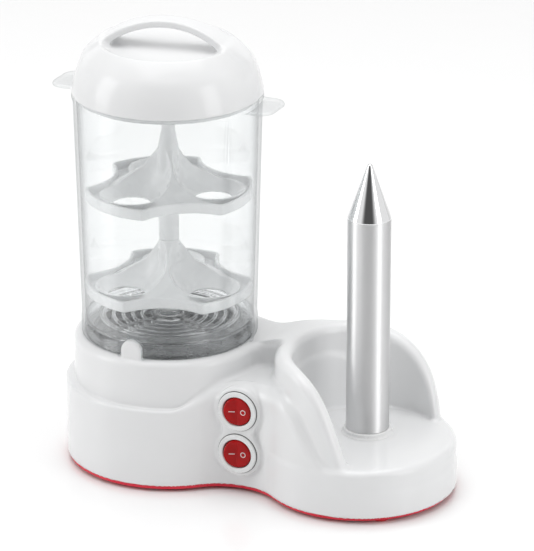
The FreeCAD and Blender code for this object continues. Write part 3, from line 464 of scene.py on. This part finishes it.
def container_field(x, y, z):
    """Clear tube with a ledge for the grate, a lip, two ears, and a hood and notch over the key."""
    u, v = x - TOWER_X, y
    r = np.hypot(u, v)
    outer = np.interp(z, [0, GRATE_TOP_Z - 0.6, GRATE_TOP_Z, CONTAINER_RIM_Z],
                      [SKIRT_R, SKIRT_R, CONTAINER_FOOT_R, CONTAINER_RIM_R])
    inner = outer - CLEAR_WALL
    wall = round_and(r - outer, inner - r, 0.5)
    wall = round_and(wall, np.maximum(CONTAINER_FOOT_Z - z, z - CONTAINER_RIM_Z), 0.7)
    ledge = round_and(np.maximum(r - 51.5, 47.5 - r), np.abs(z - 87.4) - 0.6, 0.3)
    wall = round_or(wall, ledge, 0.5)
    lip = round_and(np.abs(r - 55.1) - 1.1, np.abs(z - 226.9) - 1.1, 0.7)
    wall = round_or(wall, lip, 0.6)
    ex, ey = np.abs(u) - EAR_REACH + EAR_ROUND, np.abs(v) - EAR_HALF_W + EAR_ROUND
    plan = np.hypot(np.maximum(ex, 0), np.maximum(ey, 0)) + np.minimum(np.maximum(ex, ey), 0) - EAR_ROUND
    tab = round_and(np.maximum(plan, 54.2 - r), np.abs(z - 227.0) - 1.0, 0.8)
    wall = round_or(wall, tab, 1.6)
    arch = np.hypot(u, np.maximum(z - KEY_MID_Z, 0))
    hood = round_and(arch - 8.8, np.maximum(-54.4 - v, v + 50.2), 0.6)
    hood = np.maximum(hood, CONTAINER_FOOT_Z - z)
    lug = round_and(np.maximum(np.abs(v) - 2.0, np.abs(u - 52.6) - 1.4), np.abs(z - 87.1) - 7.0, 0.5)
    wall = round_or(wall, np.minimum(hood, lug), 0.5)
    notch = np.maximum(arch - 7.1, np.maximum(-60.0 - v, v + 49.7))
    return round_and(wall, -notch, 0.35)


def grate_field(x, y, z):
    """Disc with ring slots between four ribs, a socket for the rack's stem and a bead near the rim."""
    u, v = x - TOWER_X, y
    r = np.hypot(u, v)
    disc = round_and(r - 49.9, np.abs(z - 89.0) - 1.0, 0.3)
    slots = 1e3
    for r0 in (12.0, 17.6, 23.2, 28.8, 34.4):
        slots = np.minimum(slots, np.abs(r - r0 - SLOT_W / 2) - SLOT_W / 2)
    ribs = 1e3
    for a in (-115, 155):
        c, s = math.cos(math.radians(a)), math.sin(math.radians(a))
        ribs = np.minimum(ribs, np.minimum(np.abs(v * c - u * s), np.abs(u * c + v * s)) - RIB_W / 2)
    slots = np.maximum(slots, -ribs)
    disc = round_and(disc, -slots, 0.35)
    socket = round_and(np.abs(r - 7.25) - 0.95, np.abs(z - 90.9) - 2.0, 0.4)
    bead = np.hypot(r - 40.6, z - GRATE_TOP_Z) - 0.7
    return round_or(round_or(disc, socket, 0.4), bead, 0.3)


# ================================================================ switches

FLANGE_R, FLANGE_T, BARREL_R, WELL_R = 12.2, 1.3, 10.2, 9.05
ROCKER_R, ROCKER_DEEP, TILT = 8.75, 2.2, math.radians(20)
PIVOT_Y = PAD_Y - FLANGE_T + 0.3 + ROCKER_DEEP
MARK_W, DASH_START, DASH_END, RING_AT, RING_R = 0.45, 1.2, 4.8, 3.9, 1.45


def rocker_field(z0):
    """Button with two flat halves, a tilt apart, on a ball-shaped body with pivot pins."""
    def field(x, y, z):
        u, v, w = x - SWITCH_X, y - PIVOT_Y, z - z0
        ball = np.sqrt(u * u + v * v + w * w) - ROCKER_R
        right = -v - ROCKER_DEEP
        left = u * math.sin(TILT) - (v + ROCKER_DEEP) * math.cos(TILT)
        face = np.where(u > 0, right, left) * 0.98
        button = round_and(ball, face, 0.55)
        button = round_and(button, v - 4.5, 0.5)
        pins = round_and(np.hypot(u, v) - 1.0, np.abs(w) - 9.8, 0.2)
        return np.minimum(button, pins)
    return field


def bezel_field(z0):
    """Switch body: a flange on the pad and a barrel behind it, with a well for the rocker."""
    def field(x, y, z):
        r = np.hypot(x - SWITCH_X, z - z0)
        flange = round_and(r - FLANGE_R, np.maximum(PAD_Y - FLANGE_T - y, y - PAD_Y), 0.75)
        barrel = round_and(r - BARREL_R, np.maximum(PAD_Y - 1 - y, y - PAD_Y - 17), 0.4)
        body = np.minimum(flange, barrel)
        well = np.maximum(r - WELL_R, y - PIVOT_Y - ROCKER_R - 0.6)
        body = round_and(body, -well, 0.45)
        pivot = np.hypot(x - SWITCH_X, y - PIVOT_Y) - 1.05
        pivot = np.maximum(pivot, np.abs(z - z0) - 9.95)
        lamp = np.maximum(r - 3.0, y - PIVOT_Y - ROCKER_R - 3.6)
        return np.maximum(np.maximum(body, -pivot), -lamp)
    return field


def painted_shade_ring(name, z0):
    """Black ring of painted shade, standing in for the shadow in the thin gap between a bezel and its pad."""
    profile = ((12.1, 0.3), (12.1, -0.1), (12.24, -0.22), (12.5, -0.1), (12.56, 0.3))
    turns = np.linspace(0, 2 * math.pi, 97)[:-1]
    points = [(SWITCH_X + r * math.cos(t), PAD_Y + depth, z0 + r * math.sin(t))
              for t in turns for r, depth in profile]
    n = len(profile)
    quads = []
    for i in range(len(turns)):
        row, following = i * n, (i + 1) % len(turns) * n
        for j in range(n):
            k = (j + 1) % n
            quads.append((row + j, row + k, following + k, following + j))
    return new_mesh(name, points, quads)


def switch_marks(name, z0):
    """Raised dash on the rocker's left half and ring on its right half."""
    bm = bmesh.new()

    def strip(place, points, width, closed):
        """Low ridge along points given in the face's own plane."""
        n = len(points)
        rows = []
        for i, (a, b) in enumerate(points):
            p0 = points[i - 1] if closed or i else points[i]
            p1 = points[(i + 1) % n] if closed or i < n - 1 else points[i]
            dx, dz = p1[0] - p0[0], p1[1] - p0[1]
            size = math.hypot(dx, dz) or 1
            nx, nz = -dz / size * width / 2, dx / size * width / 2
            row = []
            for side, lift in ((-1, -0.12), (-0.8, 0.09), (0.8, 0.09), (1, -0.12)):
                row.append(bm.verts.new([c * MM for c in place(a + side * nx, b + side * nz, lift)]))
            rows.append(row)
        last = n if closed else n - 1
        for i in range(last):
            a, b = rows[i], rows[(i + 1) % n]
            for j in range(3):
                bm.faces.new((a[j], a[j + 1], b[j + 1], b[j]))
            bm.faces.new((a[3], a[0], b[0], b[3]))
        if not closed:
            bm.faces.new(rows[0][::-1])
            bm.faces.new(rows[-1])

    face_y = PIVOT_Y - ROCKER_DEEP

    def on_left(s, h, lift):
        return (SWITCH_X - s * math.cos(TILT) - lift * math.sin(TILT),
                face_y - s * math.sin(TILT) - lift * math.cos(TILT), z0 + h)

    def on_right(s, h, lift):
        return SWITCH_X + s, face_y - lift, z0 + h

    dash = [(s, 0) for s in np.linspace(DASH_START, DASH_END, 5)]
    turns = np.linspace(0, 2 * math.pi, 41)[:-1]
    circle = [(RING_AT + RING_R * math.cos(t), RING_R * math.sin(t)) for t in turns]
    strip(on_left, dash, MARK_W, False)
    strip(on_right, circle, MARK_W, True)
    bmesh.ops.recalc_face_normals(bm, faces=bm.faces)
    mesh = bpy.data.meshes.new(name)
    bm.to_mesh(mesh)
    bm.free()
    obj = bpy.data.objects.new(name, mesh)
    bpy.context.scene.collection.objects.link(obj)
    return obj


# ================================================================ turned pieces

def softened(profile, radii):
    """Closed outline with each corner given a radius."""
    out = []
    n = len(profile)
    for i, (p, rad) in enumerate(zip(profile, radii)):
        p = np.array(p, float)
        a, b = np.array(profile[i - 1], float) - p, np.array(profile[(i + 1) % n], float) - p
        la, lb = np.linalg.norm(a), np.linalg.norm(b)
        a, b = a / la, b / lb
        half = math.acos(float(np.clip(a @ b, -1, 1))) / 2
        back = min(rad / math.tan(half), 0.48 * la, 0.48 * lb) if rad else 0
        if back < 1e-6:
            out.append(tuple(p))
            continue
        for t in np.linspace(0, 1, 6):
            q = (1 - t) ** 2 * (p + a * back) + 2 * t * (1 - t) * p + t * t * (p + b * back)
            out.append(tuple(q))
    return out


def turned(name, profile, radii, x, segments=160):
    """Closed ring or solid of revolution about the vertical through x."""
    outline = softened(profile, radii)
    angles = np.linspace(0, 2 * math.pi, segments, endpoint=False)
    points, rows = [], []
    for r, z in outline:
        if r < 1e-6:
            rows.append([len(points)] * segments)
            points.append((x, 0, z))
        else:
            rows.append(list(range(len(points), len(points) + segments)))
            points += [(x + r * math.cos(t), r * math.sin(t), z) for t in angles]
    faces = []
    for i, row in enumerate(rows):
        following = rows[(i + 1) % len(rows)]
        for j in range(segments):
            k = (j + 1) % segments
            corners = [row[j], row[k], following[k], following[j]]
            face = list(dict.fromkeys(corners))
            if len(face) > 2:
                faces.append(face)
    obj = new_mesh(name, points, faces)
    bm = bmesh.new()
    bm.from_mesh(obj.data)
    bmesh.ops.recalc_face_normals(bm, faces=bm.faces)
    bm.to_mesh(obj.data)
    bm.free()
    return obj


# ================================================================ all pieces

COARSE = 1.0


def add(obj, body, slot, *nodes):
    """Puts a piece on its body, in its material slot, in place of CAD nodes."""
    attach(obj, body)
    if nodes:
        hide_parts(*nodes)
    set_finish(obj, slot)
    return obj


def around(node, margin=2.5):
    """Box of a node with a margin, in millimetres."""
    return [v - margin for v in low_mm(node)], [v + margin for v in high_mm(node)]


add(field_mesh("housing", housing_field, *housing_box(), 1.05),
    "base", "white_housing", "housing_shell")
add(field_mesh("lid_shell", lid_field, *around("lid"), 0.95 * COARSE), "lid", "white_lid", "lid")
add(field_mesh("lower_rack_tray", rack_field(LOWER_RACK_Z, -69.4, 90.1, "spigot"), *around("lower_egg_rack"),
               0.75 * COARSE), "lower_rack", "white_rack", "lower_egg_rack")
add(field_mesh("upper_rack_tray", rack_field(UPPER_RACK_Z, -54.4, 137.1, "socket"), *around("upper_egg_rack"),
               0.75 * COARSE), "upper_rack", "white_rack", "upper_egg_rack")
add(field_mesh("clear_tube", container_field, *around("steam_container"), 0.95 * COARSE),
    "container", "clear_container", "steam_container")
add(field_mesh("slotted_grate", grate_field, *around("steam_grate"), 0.62 * COARSE),
    "container", "clear_grate", "steam_grate")
for which, z0 in SWITCH_Z.items():
    node = which + "_rocker"
    add(field_mesh(which + "_button", rocker_field(z0), *around(node, 1.0), 0.36), node, "red_rocker", node)
    add(switch_marks(which + "_marks", z0), node, "white_switch")
    node = which + "_switch_body"
    # Painted shade: a thin black ring in the phenolic_black slot stands in for the shadow in the gap round
    # each bezel.
    add(painted_shade_ring(which + "_gap", z0), "base", "phenolic_black", node)
    add(field_mesh(which + "_bezel", bezel_field(z0), *around(node, 1.5), 0.5), "base", "white_switch", node)

SPIKE_R, SHANK_R, SPIKE_BORE_R, SPIKE_FOOT_Z = 12.68, 12.3, 11.0, 24.0
SHOULDER_Z = COLLAR_TOP_Z + 0.1
COLLAR_IN_R = SHANK_R + 0.1
add(turned("spike_barrel",
           [(SPIKE_BORE_R, SPIKE_FOOT_Z), (SHANK_R, SPIKE_FOOT_Z), (SHANK_R, SHOULDER_Z),
            (SPIKE_R, SHOULDER_Z), (SPIKE_R, SPIKE_TOP_Z), (SPIKE_BORE_R, SPIKE_TOP_Z)],
           [0.2, 0.3, 0, 0.12, 0.12, 0.2], SPIKE_X), "base", "satin_aluminium", "spike_tube")
add(turned("spike_point",
           [(0, SPIKE_TOP_Z - 8), (SPIKE_BORE_R - 0.05, SPIKE_TOP_Z - 8), (SPIKE_BORE_R - 0.05, SPIKE_TOP_Z),
            (SPIKE_R, SPIKE_TOP_Z), (SPIKE_R, SPIKE_TOP_Z + 0.6), (1.35, TIP_Z - 1.1), (0, TIP_Z)],
           [0, 0.4, 0, 0.12, 0.5, 1.2, 0], SPIKE_X), "base", "polished_chrome", "spike_tip")
add(turned("spike_foot_ring",
           [(COLLAR_IN_R, BUN_CROWN_Z), (15.6, BUN_CROWN_Z), (14.35, BUN_CROWN_Z + 1.2), (14.2, COLLAR_TOP_Z),
            (COLLAR_IN_R, COLLAR_TOP_Z)],
           [0, 0.2, 1.2, 0.9, 0.3], SPIKE_X), "base", "white_collar", "spike_collar")


# ================================================================ materials

def principled(name, color, roughness, **sockets):
    """Plain material; other sockets are named with underscores for spaces."""
    mat = bpy.data.materials.new(name)
    mat.use_nodes = True
    tree = mat.node_tree
    shader = tree.nodes["Principled BSDF"]
    shader.inputs["Base Color"].default_value = (*color, 1)
    shader.inputs["Roughness"].default_value = roughness
    for socket, value in sockets.items():
        shader.inputs[socket.replace("_", " ")].default_value = value
    return mat, tree, shader


def noise(tree, scale, detail=3.0, stretch=(1, 1, 1)):
    """Noise fixed to the piece itself."""
    coords = tree.nodes.new("ShaderNodeTexCoord")
    mapping = tree.nodes.new("ShaderNodeMapping")
    mapping.inputs["Scale"].default_value = stretch
    texture = tree.nodes.new("ShaderNodeTexNoise")
    texture.inputs["Scale"].default_value = scale
    texture.inputs["Detail"].default_value = detail
    tree.links.new(coords.outputs["Object"], mapping.inputs["Vector"])
    tree.links.new(mapping.outputs["Vector"], texture.inputs["Vector"])
    return texture.outputs["Fac"]


def spread(tree, source, low, high):
    """The middle of a noise's range, mapped from low to high."""
    node = tree.nodes.new("ShaderNodeMapRange")
    node.inputs["From Min"].default_value = 0.3
    node.inputs["From Max"].default_value = 0.7
    node.inputs["To Min"].default_value = low
    node.inputs["To Max"].default_value = high
    tree.links.new(source, node.inputs["Value"])
    return node.outputs["Result"]


def two_tones(tree, source, first, second):
    """Colour that drifts between two tones with a noise."""
    ramp_node = tree.nodes.new("ShaderNodeValToRGB")
    ramp_node.color_ramp.elements[0].position = 0.3
    ramp_node.color_ramp.elements[1].position = 0.7
    ramp_node.color_ramp.elements[0].color = (*first, 1)
    ramp_node.color_ramp.elements[1].color = (*second, 1)
    tree.links.new(source, ramp_node.inputs["Fac"])
    return ramp_node.outputs["Color"]


def bump(tree, source, strength, distance):
    """Surface relief, distance in metres."""
    node = tree.nodes.new("ShaderNodeBump")
    node.inputs["Strength"].default_value = strength
    node.inputs["Distance"].default_value = distance
    tree.links.new(source, node.inputs["Height"])
    return node.outputs["Normal"]


def textured(name, color, roughness, tone=0.985, grain=900, depth=0.00001, stretch=(1, 1, 1), swing=0.05,
             patch=35, **sockets):
    """Principled surface with uneven tone, uneven gloss and a fine surface grain."""
    mat, tree, shader = principled(name, color, roughness, **sockets)
    second = tuple(c * tone for c in color)
    tree.links.new(two_tones(tree, noise(tree, patch, 2), color, second), shader.inputs["Base Color"])
    tree.links.new(spread(tree, noise(tree, patch * 3, 3), max(roughness - swing, 0.02), roughness + swing),
                   shader.inputs["Roughness"])
    tree.links.new(bump(tree, noise(tree, grain, 2, stretch), 0.35, depth), shader.inputs["Normal"])
    return mat


def brushed(mat):
    """Turns the grain of a metal round the vertical, so that highlights stretch along the tube."""
    tree = mat.node_tree
    tangent = tree.nodes.new("ShaderNodeTangent")
    tangent.direction_type = "RADIAL"
    tangent.axis = "Z"
    tree.links.new(tangent.outputs["Tangent"], tree.nodes["Principled BSDF"].inputs["Tangent"])
    return mat


def clear_plastic(name, tint, rim, roughness, body):
    """See-through wall: passes light straight on, darker seen aslant, mirrors at its faces, a little hazy."""
    mat = bpy.data.materials.new(name)
    mat.use_nodes = True
    tree = mat.node_tree
    tree.nodes.clear()
    out = tree.nodes.new("ShaderNodeOutputMaterial")
    see = tree.nodes.new("ShaderNodeBsdfTransparent")
    slant = tree.nodes.new("ShaderNodeLayerWeight")
    slant.inputs["Blend"].default_value = 0.5
    depth = tree.nodes.new("ShaderNodeMapRange")
    depth.interpolation_type = "SMOOTHSTEP"
    depth.inputs["From Min"].default_value = 0.55
    depth.inputs["From Max"].default_value = 1.0
    thick = tree.nodes.new("ShaderNodeMix")
    thick.data_type = "RGBA"
    thick.inputs["A"].default_value = (*tint, 1)
    thick.inputs["B"].default_value = (*[c * 0.62 for c in tint], 1)
    tree.links.new(slant.outputs["Facing"], depth.inputs["Value"])
    tree.links.new(depth.outputs["Result"], thick.inputs["Factor"])
    tree.links.new(thick.outputs["Result"], see.inputs["Color"])
    shine = tree.nodes.new("ShaderNodeBsdfGlossy")
    shine.inputs["Color"].default_value = (0.95, 0.96, 0.97, 1)
    grain = spread(tree, noise(tree, 60, 2), roughness * 0.6, roughness * 1.4)
    tree.links.new(grain, shine.inputs["Roughness"])
    edge = tree.nodes.new("ShaderNodeLayerWeight")
    edge.inputs["Blend"].default_value = rim
    mirror = tree.nodes.new("ShaderNodeMixShader")
    haze = tree.nodes.new("ShaderNodeBsdfDiffuse")
    haze.inputs["Color"].default_value = (0.86, 0.88, 0.89, 1)
    mix = tree.nodes.new("ShaderNodeMixShader")
    mix.inputs["Fac"].default_value = body
    tree.links.new(edge.outputs["Facing"], mirror.inputs["Fac"])
    tree.links.new(see.outputs["BSDF"], mirror.inputs[1])
    tree.links.new(shine.outputs["BSDF"], mirror.inputs[2])
    tree.links.new(mirror.outputs["Shader"], mix.inputs[1])
    tree.links.new(haze.outputs["BSDF"], mix.inputs[2])
    tree.links.new(mix.outputs["Shader"], out.inputs["Surface"])
    return mat


WHITE = (0.815, 0.82, 0.825)
MATERIALS = {
    "white_housing": lambda n: textured(n, WHITE, 0.17),
    "white_lid": lambda n: textured(n, (0.81, 0.815, 0.82), 0.18),
    "white_rack": lambda n: textured(n, (0.9, 0.905, 0.91), 0.28),
    "white_switch": lambda n: textured(n, (0.81, 0.82, 0.82), 0.25, patch=150),
    "white_collar": lambda n: textured(n, (0.82, 0.82, 0.82), 0.3, patch=120),
    "white_gland": lambda n: textured(n, (0.74, 0.74, 0.73), 0.45, patch=150),
    "red_cover": lambda n: textured(n, (0.78, 0.015, 0.045), 0.3, tone=0.93),
    "red_foot": lambda n: textured(n, (0.62, 0.01, 0.02), 0.5, tone=0.9, patch=200),
    "red_rocker": lambda n: textured(n, (0.43, 0.001, 0.002), 0.2, tone=0.7, patch=160,
                                     Specular_IOR_Level=0.22),
    "clear_container": lambda n: clear_plastic(n, (0.985, 0.99, 0.99), 0.11, 0.04, 0.02),
    "clear_grate": lambda n: textured(n, (0.93, 0.94, 0.95), 0.05, tone=0.99, swing=0.02, depth=0.000002,
                                      Transmission_Weight=1.0, IOR=1.49),
    "satin_aluminium": lambda n: brushed(textured(n, (0.82, 0.822, 0.826), 0.5, tone=0.99, grain=420,
                                                  depth=0.0000008, stretch=(5, 5, 0.06), swing=0.01,
                                                  Metallic=1.0, Anisotropic=0.9,
                                                  Anisotropic_Rotation=0.25)),
    "polished_chrome": lambda n: textured(n, (0.86, 0.865, 0.87), 0.055, swing=0.015, depth=0.000002,
                                          stretch=(1, 1, 8), Metallic=1.0),
    "stainless_dish": lambda n: textured(n, (0.24, 0.245, 0.25), 0.26, tone=0.85, grain=700,
                                         stretch=(1, 1, 6), Metallic=1.0),
    "zinc_steel": lambda n: textured(n, (0.62, 0.64, 0.66), 0.32, tone=0.88, patch=250, Metallic=1.0),
    "element_sheath": lambda n: textured(n, (0.36, 0.34, 0.32), 0.4, tone=0.8, patch=150, Metallic=1.0),
    "terminal_brass": lambda n: textured(n, (0.72, 0.52, 0.22), 0.3, tone=0.85, patch=300, Metallic=1.0),
    "silicone": lambda n: textured(n, (0.62, 0.62, 0.6), 0.6, patch=200, depth=0.00002),
    "phenolic_black": lambda n: textured(n, (0.02, 0.018, 0.017), 0.4, tone=0.7, patch=200, depth=0.00002),
    "ceramic": lambda n: textured(n, (0.74, 0.71, 0.66), 0.55, tone=0.93, patch=200, depth=0.00003),
    "lamp_glass": lambda n: textured(n, (0.85, 0.35, 0.15), 0.1, patch=300, Transmission_Weight=0.8),
    "wire_insulation": lambda n: textured(n, (0.05, 0.09, 0.3), 0.4, tone=0.8, patch=200),
}


def dress_all():
    """Gives every shown CAD node and every piece the material of its slot."""
    made = {}
    slots = {entry["node"]: entry["material_slot"] for entry in frame["record"]["subparts"]}
    for obj in bpy.context.scene.objects:
        if obj.type != "MESH" or obj.name == "floor":
            continue
        slot = slots.get(obj.name) or obj.get("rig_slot")
        if slot not in MATERIALS:
            continue
        if slot not in made:
            made[slot] = MATERIALS[slot](slot)
        obj.data.materials.clear()
        obj.data.materials.append(made[slot])


# ================================================================ stage, light and camera

CAMERA_AZIMUTH, CAMERA_ELEVATION = math.radians(24.05), math.radians(21.11)
CAMERA_DISTANCE, CAMERA_LENS, CAMERA_SENSOR = 2.34329, 261.343, 36
CAMERA_AIM = (TOWER_X + 63.33, 0, 123.13)
FLOOR_REACH = 6000


def dim_patch(tree, direction, turn, lift, inner, outer, dark):
    """Brightness that falls to `dark` round one direction; angles in degrees, turn from the camera's side."""
    a = CAMERA_AZIMUTH + math.radians(turn)
    b = math.radians(lift)
    dot = tree.nodes.new("ShaderNodeVectorMath")
    dot.operation = "DOT_PRODUCT"
    dot.inputs[1].default_value = (math.sin(a) * math.cos(b), -math.cos(a) * math.cos(b), math.sin(b))
    fall = tree.nodes.new("ShaderNodeMapRange")
    fall.interpolation_type = "SMOOTHSTEP"
    fall.inputs["From Min"].default_value = math.cos(math.radians(outer))
    fall.inputs["From Max"].default_value = math.cos(math.radians(inner))
    fall.inputs["To Min"].default_value = 1.0
    fall.inputs["To Max"].default_value = dark
    tree.links.new(direction, dot.inputs[0])
    tree.links.new(dot.outputs["Value"], fall.inputs["Value"])
    return fall.outputs["Result"]


def studio_world():
    """White room with dim patches round it, which draw the bands down the metal."""
    world = bpy.data.worlds.new("studio")
    world.use_nodes = True
    tree = world.node_tree
    direction = tree.nodes.new("ShaderNodeTexCoord").outputs["Generated"]
    level = dim_patch(tree, direction, -6, 16, 17, 42, 0.10)
    for turn, dark in ((124, 0.12), (-128, 0.35)):
        both = tree.nodes.new("ShaderNodeMath")
        both.operation = "MULTIPLY"
        tree.links.new(level, both.inputs[0])
        tree.links.new(dim_patch(tree, direction, turn, 26, 9, 24, dark), both.inputs[1])
        level = both.outputs["Value"]
    background = tree.nodes["Background"]
    tree.links.new(level, background.inputs["Color"])
    background.inputs["Strength"].default_value = 0.88
    bpy.context.scene.world = world
    bpy.context.scene.view_settings.view_transform = "Standard"


def make_floor():
    """Pale board that the object stands on."""
    mat = textured("floor_board", (0.955, 0.955, 0.955), 0.16, tone=0.995, patch=4, depth=0.0)
    corners = [(i * FLOOR_REACH, j * FLOOR_REACH, 0) for i, j in ((-1, -1), (1, -1), (1, 1), (-1, 1))]
    floor = new_mesh("floor", corners, [(0, 1, 2, 3)], False)
    floor.data.materials.append(mat)


def make_camera():
    """Long lens, from the front right and above."""
    level = math.cos(CAMERA_ELEVATION)
    back = Vector((math.sin(CAMERA_AZIMUTH) * level, -math.cos(CAMERA_AZIMUTH) * level,
                   math.sin(CAMERA_ELEVATION)))
    data = bpy.data.cameras.new("camera")
    data.sensor_width = CAMERA_SENSOR
    data.lens = CAMERA_LENS
    camera = bpy.data.objects.new("camera", data)
    camera.location = Vector(CAMERA_AIM) * MM + back * CAMERA_DISTANCE
    camera.rotation_mode = "QUATERNION"
    camera.rotation_quaternion = (-back).to_track_quat("-Z", "Y")
    bpy.context.scene.collection.objects.link(camera)
    bpy.context.scene.camera = camera


def area(name, place, aim, size, power):
    """Soft light at a place, turned to its aim; metres and watts."""
    data = bpy.data.lights.new(name, "AREA")
    data.shape = "RECTANGLE"
    data.size, data.size_y = size
    data.energy = power
    lamp = bpy.data.objects.new(name, data)
    lamp.location = place
    lamp.rotation_mode = "QUATERNION"
    lamp.rotation_quaternion = (Vector(aim) - Vector(place)).to_track_quat("-Z", "Y")
    bpy.context.scene.collection.objects.link(lamp)


make_floor()
dress_all()
studio_world()
make_camera()
area("overhead", (-0.1, 0.1, 1.7), (0, 0, 0.1), (1.6, 1.2), 11)
area("left_softbox", (-1.5, -0.9, 0.7), (0, 0, 0.12), (0.7, 1.2), 7)
area("right_softbox", (1.6, -0.3, 0.6), (0, 0, 0.12), (0.6, 1.2), 5)
